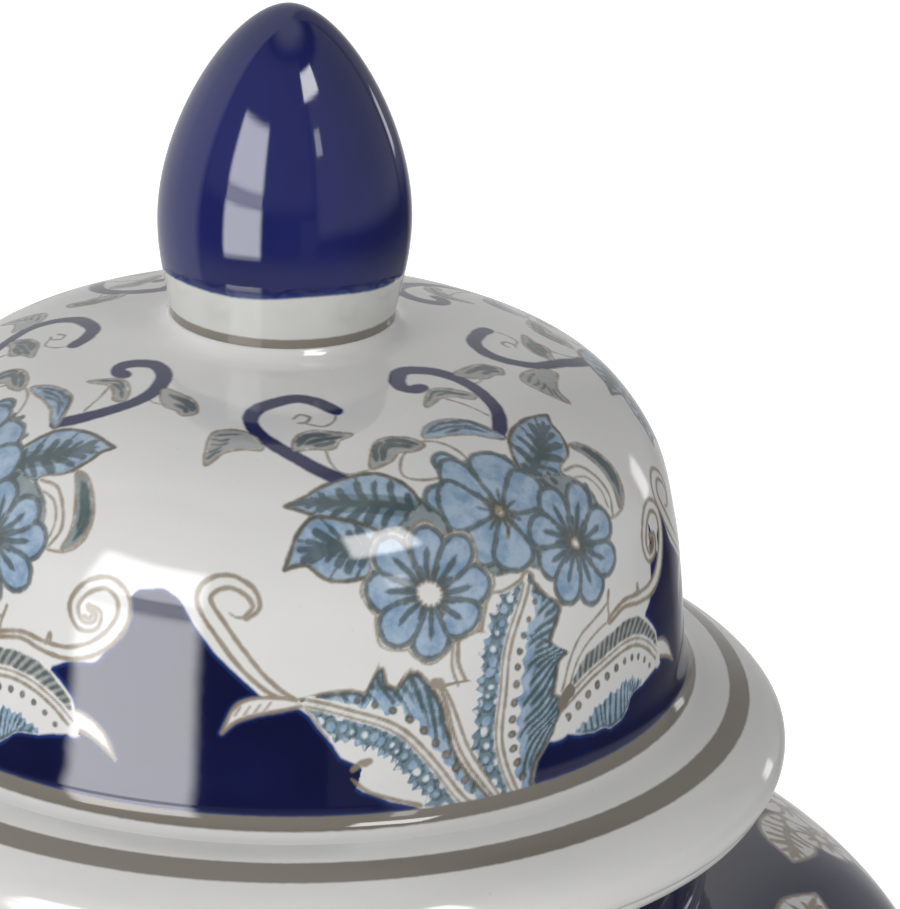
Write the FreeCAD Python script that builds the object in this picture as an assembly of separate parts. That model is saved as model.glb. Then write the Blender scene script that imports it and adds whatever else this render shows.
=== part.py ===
"""Lidded ginger jar in glazed porcelain: a baluster jar, its neck, and a domed lid with a bud finial.

Units are millimetres. The origin is the centre of the foot, on the table, and +Z is up.
Every piece is a body of revolution about Z, drawn as a closed outline of radius against height.
"""
import FreeCAD, Part
import os

# ---- driving dimensions -------------------------------------------------------------------
BELLY_RADIUS = 103.0            # widest part of the jar
BELLY_HEIGHT = 202.0            # height of the widest part, where the two halves are luted
WALL = 5.5                      # thickness of the jar's wall

FOOT_RADIUS = 64.5              # outside of the foot ring, where it stands
FOOT_BORE_RADIUS = 54.0         # inside of the foot ring
FOOT_RECESS = 6.5               # height of the hollow under the base
BASE_THICKNESS = 6.0
BASE_TOP = 16.0                 # where the base section meets the lower half
WAIST_RADIUS = 60.0             # narrowest part of the jar, just above the foot
WAIST_HEIGHT = 34.0
WAIST_BOW = 0.9                 # how much the wall between base and waist hollows inwards
TAPER_FULLNESS = 0.36           # how far each end of the S-curve runs straight, of its height
FOOT_WALL_HEIGHT = 4.0          # upright part of the foot ring's outside
FOOT_CHAMFER = 1.2

NECK_RADIUS = 62.5              # outside of the neck
NECK_WALL = 7.5
NECK_HEIGHT = 16.0              # from the shoulder to the rim
RIM_ROUNDING = 2.0
SHOULDER_CENTRE_RADIUS = 60.0   # centre of the shoulder's quarter ellipse
SHOULDER_RISE = 34.5            # height of that quarter ellipse

SEAT_GAP = 0.3                  # between the neck's rim and the lid's flat seat
FLANGE_RADIUS = 74.5
FLANGE_THICKNESS = 15.0         # from the seat up to the dome's foot
FLANGE_BORE_RADIUS = 54.0
FLANGE_NOSE = 8.5               # height of the flange's rounded outer face
FLANGE_LEAN = 1.3               # how far the top of that face stands in
FLANGE_BULGE_HEIGHT = 4.5       # where the face is widest
FLANGE_BULGE_HANDLE = 1.0
FLANGE_UNDERCUT = 2.4           # rounding between the face and the seat
FLANGE_TOP = ((65.8, -1.9), (69.0, -3.5))   # its top: radius, and height from the dome's foot

RING_RADIUS = 53.4              # outside of the locating ring, which drops into the neck
RING_WALL = 3.6
RING_DROP = 9.0                 # how far it reaches below the seat
RING_LAP = 7.0                  # how far it is luted up inside the flange
RING_CHAMFER = 0.8

DOME_FOOT_RADIUS = 60.2
DOME_WALL = 4.8
CROWN_HEIGHT = 51.0             # from the dome's foot to the finial's seat
CROWN_STEP = 0.4                # the finial's seat stands this much proud of the crown, and wider
CROWN_INSIDE_BEND = (10.0, 15.0)    # radii where the crown's underside starts and ends its fall
VENT_RADIUS = 4.0               # hole through the crown, which lets the finial breathe in the kiln
# radius and height above the dome's foot, outside and inside, up to where the crown turns flat
DOME_OUTSIDE = ((60.2, 0), (58.9, 8), (57.0, 23), (54.2, 33), (47.8, 41.5), (38.6, 46.4), (28.0, 48.9),
                (20.0, 50.0))
DOME_INSIDE = ((55.4, 0), (54.1, 8), (52.2, 23), (49.6, 31.5), (44.8, 37.6), (36.8, 41.8), (27.2, 44.1),
               (20.0, 45.1))

FINIAL_FOOT_RADIUS = 16.1
FINIAL_RADIUS = 17.9
FINIAL_RADIUS_HEIGHT = 15.5     # from the finial's seat to its widest part
FINIAL_HEIGHT = 46.5
FINIAL_WALL = 4.0
FINIAL_WAIST = 0.8              # how far its foot pulls in before it swells
FINIAL_WAIST_HEIGHT = 2.5
FINIAL_CHEEK = 7.5              # height below the widest part where the side turns upright
FINIAL_FULLNESS = 0.46          # how upright the side stays above the widest part, of its height
FINIAL_BLUNTNESS = 0.41         # how broad the tip is, of the radius
FINIAL_TIP_WALL = 1.6           # thickness at the tip, in walls

# ---- heights that follow from them ----------------------------------------------------------
SHOULDER_TOP = BELLY_HEIGHT + SHOULDER_RISE
NECK_RIM = SHOULDER_TOP + NECK_HEIGHT
LID_SEAT = NECK_RIM + SEAT_GAP
DOME_FOOT = LID_SEAT + FLANGE_THICKNESS
CROWN = DOME_FOOT + CROWN_HEIGHT
TOTAL_HEIGHT = CROWN + FINIAL_HEIGHT
FOOT_JOINT_RADIUS = WAIST_RADIUS + 1.0      # outside of the joint between the base and the lower half

KAPPA = 0.5523                  # handle length of a Bezier curve that draws a quarter ellipse


# ---- drawing and revolving an outline -------------------------------------------------------
def point(radius, height):
    return FreeCAD.Vector(radius, 0, height)


def line(start, end):
    return Part.LineSegment(point(*start), point(*end)).toShape()


def arc(start, middle, end):
    return Part.Arc(point(*start), point(*middle), point(*end)).toShape()


def bezier(*poles):
    curve = Part.BezierCurve()
    curve.setPoles([point(*pole) for pole in poles])
    return curve.toShape()


def spline(points):
    curve = Part.BSplineCurve()
    curve.interpolate([point(*p) for p in points])
    return curve.toShape()


def polyline(*points):
    return [line(a, b) for a, b in zip(points, points[1:])]


def raised(points, height):
    return [(radius, rise + height) for radius, rise in points]


def revolved(edges):
    """The solid swept by a closed outline that is turned once about Z."""
    outline = Part.Face(Part.Wire(edges))
    solid = outline.revolve(FreeCAD.Vector(0, 0, 0), FreeCAD.Vector(0, 0, 1), 360)
    if solid.Volume < 0:
        solid.reverse()
    return solid


def quarter_ellipse(centre, half_width, half_height):
    """From the ellipse's side, at the centre's height, up to its top."""
    radius, height = centre
    return bezier(
        (radius + half_width, height),
        (radius + half_width, height + KAPPA * half_height),
        (radius + KAPPA * half_width, height + half_height),
        (radius, height + half_height))


# ---- the jar ----------------------------------------------------------------------------------
def taper_poles(inset):
    """The long S-curve from the belly down to the waist, moved in by the wall's thickness."""
    drop = BELLY_HEIGHT - WAIST_HEIGHT
    return [
        (BELLY_RADIUS - inset, BELLY_HEIGHT),
        (BELLY_RADIUS - inset, BELLY_HEIGHT - TAPER_FULLNESS * drop),
        (WAIST_RADIUS - inset, WAIST_HEIGHT + TAPER_FULLNESS * drop),
        (WAIST_RADIUS - inset, WAIST_HEIGHT)]


def waist_poles(inset):
    """The short curve from the base's joint in to the waist."""
    rise = WAIST_HEIGHT - BASE_TOP
    return [
        (FOOT_JOINT_RADIUS - inset, BASE_TOP),
        (FOOT_JOINT_RADIUS - inset - WAIST_BOW, BASE_TOP + rise / 3),
        (WAIST_RADIUS - inset, WAIST_HEIGHT - 4 * rise / 9),
        (WAIST_RADIUS - inset, WAIST_HEIGHT)]


def foot_base():
    """The base disc with its turned foot ring, and the start of the flared foot wall."""
    floor = FOOT_RECESS + BASE_THICKNESS
    inner_radius = FOOT_JOINT_RADIUS - WALL
    floor_radius = inner_radius - BASE_TOP + floor
    edges = polyline(
        (0, FOOT_RECESS),
        (FOOT_BORE_RADIUS - FOOT_CHAMFER, FOOT_RECESS),
        (FOOT_BORE_RADIUS, FOOT_RECESS - FOOT_CHAMFER),
        (FOOT_BORE_RADIUS, FOOT_CHAMFER),
        (FOOT_BORE_RADIUS + FOOT_CHAMFER, 0),
        (FOOT_RADIUS - FOOT_CHAMFER, 0),
        (FOOT_RADIUS, FOOT_CHAMFER),
        (FOOT_RADIUS, FOOT_WALL_HEIGHT))
    edges.append(bezier(
        (FOOT_RADIUS, FOOT_WALL_HEIGHT),
        (FOOT_RADIUS, 2 * FOOT_WALL_HEIGHT),
        (FOOT_JOINT_RADIUS + WAIST_BOW, BASE_TOP - FOOT_WALL_HEIGHT),
        (FOOT_JOINT_RADIUS, BASE_TOP)))
    edges += polyline(
        (FOOT_JOINT_RADIUS, BASE_TOP),
        (inner_radius, BASE_TOP),
        (floor_radius, floor),
        (0, floor),
        (0, FOOT_RECESS))
    return revolved(edges)


def body_lower():
    """The lower half, from the base section up to the luted seam at the belly."""
    outer = taper_poles(0)
    inner = taper_poles(WALL)
    outer_waist = waist_poles(0)
    inner_waist = waist_poles(WALL)
    return revolved([
        line(inner_waist[0], outer_waist[0]),
        bezier(*outer_waist),
        bezier(*reversed(outer)),
        line(outer[0], inner[0]),
        bezier(*inner),
        bezier(*reversed(inner_waist))])


def body_upper():
    """The upper half: the round shoulder, open in the middle for the neck."""
    centre = (SHOULDER_CENTRE_RADIUS, BELLY_HEIGHT)
    half_width = BELLY_RADIUS - SHOULDER_CENTRE_RADIUS
    outer = quarter_ellipse(centre, half_width, SHOULDER_RISE)
    inner = quarter_ellipse(centre, half_width - WALL, SHOULDER_RISE - WALL)
    shell = revolved([
        line((BELLY_RADIUS, BELLY_HEIGHT), (BELLY_RADIUS - WALL, BELLY_HEIGHT)),
        outer,
        line((SHOULDER_CENTRE_RADIUS, SHOULDER_TOP), (SHOULDER_CENTRE_RADIUS, SHOULDER_TOP - WALL)),
        inner])
    neck_hole = Part.makeCylinder(NECK_RADIUS, 2 * SHOULDER_RISE, point(0, BELLY_HEIGHT))
    return shell.cut(neck_hole)


def neck_collar():
    """The straight neck, which stands in the shoulder's opening and carries the lid on its rim."""
    bore = NECK_RADIUS - NECK_WALL
    bottom = SHOULDER_TOP - WALL
    rounding = RIM_ROUNDING
    corner = rounding * (1 - 0.5 ** 0.5)
    return revolved(
        polyline((NECK_RADIUS, NECK_RIM - rounding), (NECK_RADIUS, bottom), (bore, bottom),
                 (bore, NECK_RIM - rounding))
        + [arc((bore, NECK_RIM - rounding), (bore + corner, NECK_RIM - corner), (bore + rounding, NECK_RIM)),
           line((bore + rounding, NECK_RIM), (NECK_RADIUS - rounding, NECK_RIM)),
           arc((NECK_RADIUS - rounding, NECK_RIM), (NECK_RADIUS - corner, NECK_RIM - corner),
               (NECK_RADIUS, NECK_RIM - rounding))])


# ---- the lid ----------------------------------------------------------------------------------
def lid_flange():
    """The broad brim: a gently falling top, a rounded outer face and a flat seat underneath."""
    nose_top = LID_SEAT + FLANGE_NOSE
    nose_radius = FLANGE_RADIUS - FLANGE_LEAN
    bulge = LID_SEAT + FLANGE_BULGE_HEIGHT
    seat_edge = FLANGE_RADIUS - FLANGE_UNDERCUT
    dome_bore = DOME_FOOT_RADIUS - DOME_WALL
    return revolved([
        line((FLANGE_BORE_RADIUS, LID_SEAT), (FLANGE_BORE_RADIUS, DOME_FOOT)),
        line((FLANGE_BORE_RADIUS, DOME_FOOT), (dome_bore, DOME_FOOT)),
        line((dome_bore, DOME_FOOT), (DOME_FOOT_RADIUS, DOME_FOOT)),
        spline([(DOME_FOOT_RADIUS, DOME_FOOT)] + raised(FLANGE_TOP, DOME_FOOT) + [(nose_radius, nose_top)]),
        bezier((nose_radius, nose_top), (FLANGE_RADIUS, nose_top - FLANGE_BULGE_HANDLE),
               (FLANGE_RADIUS, bulge + FLANGE_BULGE_HANDLE), (FLANGE_RADIUS, bulge)),
        bezier((FLANGE_RADIUS, bulge), (FLANGE_RADIUS, LID_SEAT + FLANGE_UNDERCUT),
               (FLANGE_RADIUS - FLANGE_UNDERCUT / 3, LID_SEAT), (seat_edge, LID_SEAT)),
        line((seat_edge, LID_SEAT), (FLANGE_BORE_RADIUS, LID_SEAT))])


def lid_locating_ring():
    """The ring under the lid that drops into the neck and keeps the lid centred."""
    bore = RING_RADIUS - RING_WALL
    bottom = LID_SEAT - RING_DROP
    top = LID_SEAT + RING_LAP
    return revolved(polyline(
        (bore, bottom + RING_CHAMFER),
        (bore + RING_CHAMFER, bottom),
        (RING_RADIUS - RING_CHAMFER, bottom),
        (RING_RADIUS, bottom + RING_CHAMFER),
        (RING_RADIUS, LID_SEAT),
        (FLANGE_BORE_RADIUS, LID_SEAT),
        (FLANGE_BORE_RADIUS, top),
        (bore, top),
        (bore, bottom + RING_CHAMFER)))


def lid_dome():
    """The dome: steep sides that lean in a little, a rounded shoulder and a nearly flat crown."""
    outer = raised(DOME_OUTSIDE, DOME_FOOT)
    inner = raised(DOME_INSIDE, DOME_FOOT)
    crown_bottom = CROWN - DOME_WALL
    crown_radius, crown_rim = outer[-1]
    seat_radius = FINIAL_FOOT_RADIUS + CROWN_STEP
    bend_start, bend_end = CROWN_INSIDE_BEND
    return revolved([
        line(inner[0], outer[0]),
        spline(outer),
        bezier((crown_radius, crown_rim), ((crown_radius + FINIAL_FOOT_RADIUS) / 2, crown_rim + CROWN_STEP),
               (seat_radius, CROWN - CROWN_STEP), (seat_radius, CROWN)),
        line((seat_radius, CROWN), (VENT_RADIUS, CROWN)),
        line((VENT_RADIUS, CROWN), (VENT_RADIUS, crown_bottom)),
        bezier((VENT_RADIUS, crown_bottom), (bend_start, crown_bottom),
               (bend_end, crown_bottom - CROWN_STEP / 2), inner[-1]),
        spline(list(reversed(inner)))])


def finial():
    """The hollow bud: a short waisted collar that swells into a tall pointed egg."""
    widest = CROWN + FINIAL_RADIUS_HEIGHT
    tip = CROWN + FINIAL_HEIGHT
    rise = tip - widest
    inner_radius = FINIAL_RADIUS - FINIAL_WALL
    inner_foot_radius = FINIAL_FOOT_RADIUS - FINIAL_WALL
    inner_tip = tip - FINIAL_TIP_WALL * FINIAL_WALL
    inner_rise = inner_tip - widest
    waist = CROWN + FINIAL_WAIST_HEIGHT
    cheek = widest - FINIAL_CHEEK
    return revolved([
        line((inner_foot_radius, CROWN), (FINIAL_FOOT_RADIUS, CROWN)),
        bezier((FINIAL_FOOT_RADIUS, CROWN), (FINIAL_FOOT_RADIUS - FINIAL_WAIST, waist),
               (FINIAL_RADIUS, cheek), (FINIAL_RADIUS, widest)),
        bezier((FINIAL_RADIUS, widest), (FINIAL_RADIUS, widest + FINIAL_FULLNESS * rise),
               (FINIAL_BLUNTNESS * FINIAL_RADIUS, tip), (0, tip)),
        line((0, tip), (0, inner_tip)),
        bezier((0, inner_tip), (FINIAL_BLUNTNESS * inner_radius, inner_tip),
               (inner_radius, widest + FINIAL_FULLNESS * inner_rise), (inner_radius, widest)),
        bezier((inner_radius, widest), (inner_radius, cheek),
               (inner_foot_radius - FINIAL_WAIST, waist), (inner_foot_radius, CROWN))])


NODES = {
    "foot_base": foot_base,
    "body_lower": body_lower,
    "body_upper": body_upper,
    "neck_collar": neck_collar,
    "lid_flange": lid_flange,
    "lid_locating_ring": lid_locating_ring,
    "lid_dome": lid_dome,
    "finial": finial,
}

os.makedirs("parts", exist_ok=True)
for name, make in NODES.items():
    shape = make()
    shape.exportStep(f"parts/{name}.step")
    box = shape.BoundBox
    print(f"{name:18} solids {len(shape.Solids)} valid {shape.isValid()} "
          f"volume {shape.Volume / 1000:.1f} cm3, z {box.ZMin:.2f} to {box.ZMax:.2f}")
print(f"total height {TOTAL_HEIGHT:.1f} mm")
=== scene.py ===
"""Looks of the lidded ginger jar: turned porcelain, painted by hand with sprays under a clear glaze.

The shapes are turned outlines that follow the CAD sections. The painting is worked out here as distances,
in millimetres, from every point of the surface to the edge of each kind of brushwork. The distances are
kept on the mesh as attributes, and the glaze material turns them into colour with soft, uneven edges.
"""
import math
import bpy
import numpy as np
from mathutils import Matrix, Vector


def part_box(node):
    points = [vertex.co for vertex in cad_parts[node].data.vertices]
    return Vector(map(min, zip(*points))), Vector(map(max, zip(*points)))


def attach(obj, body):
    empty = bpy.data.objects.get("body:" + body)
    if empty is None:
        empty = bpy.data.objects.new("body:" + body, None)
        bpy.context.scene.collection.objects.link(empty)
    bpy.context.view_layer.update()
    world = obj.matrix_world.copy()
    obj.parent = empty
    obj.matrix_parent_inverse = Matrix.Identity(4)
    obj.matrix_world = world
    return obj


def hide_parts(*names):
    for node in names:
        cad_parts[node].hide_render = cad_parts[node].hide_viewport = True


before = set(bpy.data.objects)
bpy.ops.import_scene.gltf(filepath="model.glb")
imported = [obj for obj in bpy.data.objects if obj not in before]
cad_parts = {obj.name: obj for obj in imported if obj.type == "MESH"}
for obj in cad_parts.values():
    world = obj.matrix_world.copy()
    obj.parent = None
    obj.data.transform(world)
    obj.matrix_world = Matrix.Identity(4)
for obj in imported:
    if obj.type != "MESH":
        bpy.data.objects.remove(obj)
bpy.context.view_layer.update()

MM = 0.001
FAR = 9.0                       # a distance, in mm, that counts as nowhere near any paint
LAYERS = ("cobalt", "wash", "teal", "grey", "line", "vein", "navy", "band")


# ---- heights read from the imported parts, in millimetres ----
def low(node):
    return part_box(node)[0].z / MM


def high(node):
    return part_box(node)[1].z / MM


def widest(node):
    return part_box(node)[1].x / MM


BELLY = low("body_upper")
BELLY_RADIUS = widest("body_upper")
SHOULDER = high("body_upper")
NECK_RIM = high("neck_collar")
NECK_RADIUS = widest("neck_collar")
LID_SEAT = low("lid_flange")
DOME_FOOT = low("lid_dome")
CROWN = low("finial")
TIP = high("finial")
BASE_TOP = high("foot_base")
FOOT_RADIUS = widest("foot_base")


# ---- curves ----
def bezier(*poles, count=24):
    a, b, c, d = (np.array(p, float) for p in poles)
    t = np.linspace(0, 1, count)[:, None]
    return (1 - t) ** 3 * a + 3 * (1 - t) ** 2 * t * b + 3 * (1 - t) * t ** 2 * c + t ** 3 * d


def smooth(points, closed=False, steps=6):
    """A Catmull-Rom curve through the points."""
    p = np.asarray(points, float)
    if closed:
        p = np.vstack([p[-1], p, p[0], p[1]])
    else:
        p = np.vstack([2 * p[0] - p[1], p, 2 * p[-1] - p[-2]])
    t = np.linspace(0, 1, steps, endpoint=False)[:, None]
    spans = []
    for a, b, c, d in zip(p, p[1:], p[2:], p[3:]):
        spans.append(0.5 * (2 * b + (c - a) * t + (2 * a - 5 * b + 4 * c - d) * t ** 2
                            + (3 * b - a - 3 * c + d) * t ** 3))
    curve = np.vstack(spans)
    return curve if closed else np.vstack([curve, p[-2]])


def evenly(path, spacing):
    """The path again, with points about that far apart and its two ends kept."""
    path = np.asarray(path, float)
    along = np.r_[0, np.cumsum(np.hypot(*np.diff(path, axis=0).T))]
    count = max(2, int(round(along[-1] / spacing)) + 1)
    at = np.linspace(0, along[-1], count)
    return np.c_[np.interp(at, along, path[:, 0]), np.interp(at, along, path[:, 1])]


# ---- the painter's canvas ----
def to_path(x, y, path, half=0.0):
    """Distance from each point to a brush stroke along path, half as wide as half says."""
    half = np.broadcast_to(half, len(path))
    best = np.full(np.broadcast(x, y).shape, FAR)
    for a, b, half_a, half_b in zip(path, path[1:], half, half[1:]):
        d = b - a
        t = np.clip(((x - a[0]) * d[0] + (y - a[1]) * d[1]) / max(d @ d, 1e-9), 0, 1)
        away = np.hypot(x - a[0] - t * d[0], y - a[1] - t * d[1]) - (half_a + (half_b - half_a) * t)
        best = np.minimum(best, away)
    return best


def to_area(x, y, ring):
    """Distance from each point to the edge of a closed outline, negative inside it."""
    closed = np.vstack([ring, ring[:1]])
    away = to_path(x, y, closed)
    inside = np.zeros(away.shape, bool)
    for (ax, ay), (bx, by) in zip(closed, closed[1:]):
        if ay != by:
            inside ^= ((ay > y) != (by > y)) & (x < ax + (y - ay) * (bx - ax) / (by - ay))
    return np.where(inside, -away, away)


def beside(x, y, path):
    """How far along path each point lies, and its offset from it, positive to the left."""
    best = np.full(np.broadcast(x, y).shape, 1e6)
    along = np.zeros(best.shape)
    side = np.ones(best.shape)
    start = 0.0
    for a, b in zip(path, path[1:]):
        d = b - a
        length = math.hypot(*d)
        t = np.clip(((x - a[0]) * d[0] + (y - a[1]) * d[1]) / (length * length), 0, 1)
        away = np.hypot(x - a[0] - t * d[0], y - a[1] - t * d[1])
        nearer = away < best
        best = np.where(nearer, away, best)
        along = np.where(nearer, start + t * length, along)
        side = np.where(nearer, np.where(d[0] * (y - a[1]) > d[1] * (x - a[0]), 1.0, -1.0), side)
        start += length
    return along, best * side, start


class Canvas:
    """A painted stretch of a turned surface: rows go up the outline and columns go round the jar.

    A place on it is (degrees round from the front, millimetres up the surface)."""

    def __init__(self, outline, columns, start=0.0):
        self.radius = outline[:, 0]
        self.along = start + np.r_[0, np.cumsum(np.hypot(*np.diff(outline, axis=0).T))]
        self.columns = columns
        self.degrees = np.arange(columns) * 360.0 / columns - 180.0
        self.layers = {name: np.full((len(outline), columns), FAR, np.float32) for name in LAYERS}

    def per_degree(self, height):
        """Millimetres round the surface to one degree, at that height."""
        return np.radians(np.interp(height, self.along, self.radius))

    def patch(self, points, margin=1.5):
        return Patch(self, np.asarray(points, float), margin)

    def paint(self, layer, distance):
        """Paint all round, wherever distance is negative."""
        self.layers[layer] = np.minimum(self.layers[layer], distance.astype(np.float32))


class Patch:
    """The part of a canvas near some points, laid flat in millimetres about their middle."""

    def __init__(self, canvas, points, margin):
        self.canvas = canvas
        low_deg, low_mm = points.min(0)
        high_deg, high_mm = points.max(0)
        self.middle = (low_deg + high_deg) / 2
        rows = np.nonzero((canvas.along >= low_mm - margin) & (canvas.along <= high_mm + margin))[0]
        reach = (high_deg - low_deg) / 2 + margin / max(canvas.per_degree(canvas.along[rows]).min(), 0.05)
        step = 360.0 / canvas.columns
        first = math.floor((self.middle - reach + 180.0) / step)
        last = math.ceil((self.middle + reach + 180.0) / step)
        unrolled = np.arange(first, min(last, first + canvas.columns - 1) + 1)
        self.where = np.ix_(rows, unrolled % canvas.columns)
        degrees = unrolled * step - 180.0
        self.x = np.radians(canvas.radius[rows])[:, None] * (degrees - self.middle)[None, :]
        self.y = canvas.along[rows][:, None] + 0 * self.x

    def flat(self, points):
        points = np.asarray(points, float)
        return np.c_[self.canvas.per_degree(points[:, 1]) * (points[:, 0] - self.middle), points[:, 1]]

    def paint(self, layer, distance):
        target = self.canvas.layers[layer]
        target[self.where] = np.minimum(target[self.where], distance)

    def clear(self, distance, layers=LAYERS):
        """Takes earlier paint off wherever distance is negative."""
        for layer in layers:
            target = self.canvas.layers[layer]
            target[self.where] = np.maximum(target[self.where], -distance)


class Brush:
    """Paints motifs drawn in the lid's own degrees and millimetres at one place on a canvas."""

    def __init__(self, canvas, degrees, height=0.0, across=1.0, up=1.0, seed=0):
        self.canvas = canvas
        self.origin = (degrees, height)
        self.across = across
        self.up = up
        self.random = np.random.default_rng(seed)
        self.phase = self.random.uniform(0, 6.28, 4)

    def place(self, points):
        """Motif points put on the canvas, with a slow drift of the hand of about half a millimetre."""
        p = np.atleast_2d(np.asarray(points, float))
        x, y = p[:, 0], p[:, 1]
        drift_x = 0.45 * np.sin(0.21 * x + 0.13 * y + self.phase[0]) + 0.2 * np.sin(0.5 * y + self.phase[1])
        drift_y = 0.35 * np.sin(0.17 * x - 0.2 * y + self.phase[2]) + 0.2 * np.sin(0.46 * x + self.phase[3])
        return np.c_[self.origin[0] + self.across * (x + drift_x), self.origin[1] + self.up * (y + drift_y)]

    def stroke(self, layer, points, width, start=1.0, end=1.0):
        """A brush stroke, as wide as width in its middle and that times start and end at its ends."""
        path = self.place(smooth(points))
        patch = self.canvas.patch(path, 1.5 + width)
        t = np.linspace(0, 1, len(path))
        swell = np.minimum(1.0, np.minimum(start + 5 * t, end + 5 * (1 - t)))
        patch.paint(layer, to_path(patch.x, patch.y, patch.flat(path), swell * width * self.up / 2))

    def ribbon(self, points, widths, line=0.68):
        """A white ribbon between two brown lines, as on the scrolls and stalks."""
        path = self.place(smooth(points))
        wide = np.interp(np.linspace(0, 1, len(path)), np.linspace(0, 1, len(widths)), widths)
        half = wide * self.up / 2
        patch = self.canvas.patch(path, 3.0)
        away = to_path(patch.x, patch.y, patch.flat(path), half)
        patch.clear(away)
        patch.paint("line", np.abs(away) - line * self.up / 2)

    def area(self, ring, wash=None, outline=None, clear=0.0, line=0.5):
        """A closed shape: what is under it goes, then it gets its wash and its outline."""
        ring = self.place(ring)
        patch = self.canvas.patch(ring)
        away = to_area(patch.x, patch.y, patch.flat(ring))
        patch.clear(away - clear)
        if wash:
            patch.paint(wash, away + 0.1)
        if outline:
            patch.paint(outline, np.abs(away) - line * self.up / 2)


# ---- motifs ----
PETAL_VEINS = ((0.0, 0.70, 0.9), (-0.18, 0.42, 0.8), (0.18, 0.42, 0.8))     # aside, reach and width
SHORT_VEIN = ((0.0, 0.4, 0.5),)


def flower(brush, centre, radius, petals, turn, heart, fullness, wash="wash", edge="vein", halo=0.0,
           veined=True):
    """A daisy-like flower: washed petals with dark edges, a white heart and short dashes round it.

    heart and halo are in mm, and fullness is how wide a petal is to the flower's radius."""
    cx, cy = centre
    across = 1.0 / (brush.canvas.per_degree(brush.place([centre])[0, 1]) * brush.across / brush.up)
    random = brush.random

    def at(angle, distance, sideways=0.0):
        a = math.radians(angle)
        x = distance * math.sin(a) + sideways * math.cos(a)
        y = distance * math.cos(a) - sideways * math.sin(a)
        return (cx + x * across, cy + y)

    def petal(angle, length, wide, grow=0.0):
        half = [(0.16, 0.12), (0.42, 0.34), (0.7, 0.5), (0.9, 0.38)]
        ring = [at(angle, u * length, -w * wide - grow * (w > 0.2)) for u, w in half]
        ring.append(at(angle, length + grow))
        ring += [at(angle, u * length, w * wide + grow * (w > 0.2)) for u, w in reversed(half)]
        return smooth(ring, closed=True, steps=4)

    def disc(size):
        return smooth([at(a, size) for a in range(0, 360, 45)], closed=True, steps=4)

    order = [(turn + 360.0 * k / petals + random.uniform(-5, 5), radius * random.uniform(0.92, 1.07),
              fullness * radius * random.uniform(0.88, 1.1)) for k in range(petals)]
    random.shuffle(order)
    if halo:
        for angle, length, wide in order:
            brush.area(petal(angle, length, wide, halo), None, "line", line=0.4)
    if wash:
        brush.area(disc(0.72 * radius), "teal", None)
    for angle, length, wide in order:
        brush.area(petal(angle, length, wide), wash, edge, line=0.8)
        for sideways, reach, width in PETAL_VEINS if veined else SHORT_VEIN:
            wobble = random.uniform(-0.05, 0.05)
            points = [at(angle, 0.16 * length, 0.3 * sideways * wide),
                      at(angle, (0.16 + reach) / 2 * length, (sideways + wobble) * wide),
                      at(angle, reach * length, 1.5 * sideways * wide)]
            brush.stroke(edge, points, width, start=0.9, end=0.1)
    brush.area(disc(heart), None, None, clear=0.2)
    for k in range(14):
        a = 360 / 14 * k + random.uniform(-6, 6)
        brush.stroke("line", [at(a, heart + 0.1), at(a, heart + random.uniform(1.0, 2.2))], 0.65, end=0.3)


def leaf(brush, upper, lower, rib, veins=7, wash="wash", dark="vein"):
    """A pointed leaf. upper and rib run from its base to its tip, and lower is the edge between them."""
    top = smooth(upper)
    bottom = smooth([upper[0], *lower, upper[-1]])
    ring = np.vstack([top, bottom[::-1]])
    brush.area(ring, wash, "line", line=0.7)
    brush.area(ring, None, dark, clear=-FAR, line=0.4)
    spine = smooth(rib)
    random = brush.random
    if wash:
        brush.stroke("teal", rib[:-1], 3.0, start=1.0, end=0.1)
    brush.stroke(dark, rib, 1.2, start=1.0, end=0.3)
    for edge in (top, bottom):
        for k in range(veins):
            t = (k + 0.6) / (veins + 0.6)
            root = spine[int(t * 0.86 * (len(spine) - 1))]
            end = edge[min(len(edge) - 1, int((t * 0.86 + 0.13) * (len(edge) - 1)))]
            reach = random.uniform(0.55, 0.9)
            tip = root + (end - root) * reach
            bend = root + (end - root) * reach * 0.55 + (spine[-1] - spine[0]) * 0.015
            brush.stroke(dark, [root, bend, tip], random.uniform(0.8, 1.4), start=0.8, end=0.1)
            if k % 2:
                half = [root + (end - root) * 0.5, root + (end - root) * 0.97]
                brush.stroke(dark, half, 0.4, start=0.2, end=0.3)


def shaded_leaf(brush, ring, strokes=(), wash="grey", hatch=0.45):
    """A small turned-over leaf or scroll end: an outlined shape with a few dark shading strokes."""
    brush.area(smooth(ring, closed=True), wash, "line", line=0.45)
    for points in strokes:
        brush.stroke("vein", points, hatch, start=0.4, end=0.2)


def dabs(brush, ring, count):
    """Short dark strokes scattered inside the ring, each leaning a little to one side."""
    ring = np.asarray(ring, float)
    middle = ring.mean(0)
    random = brush.random
    for _ in range(count):
        corner = ring[random.integers(len(ring))]
        root = middle + (corner - middle) * math.sqrt(random.uniform(0.05, 1.0)) * 0.96
        lean = random.uniform(-0.8, 0.8)
        tip = root + (2.2 * math.sin(lean), 2.2 * math.cos(lean))
        brush.stroke("vein", [root, tip], 1.0, start=0.3, end=0.2)


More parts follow.
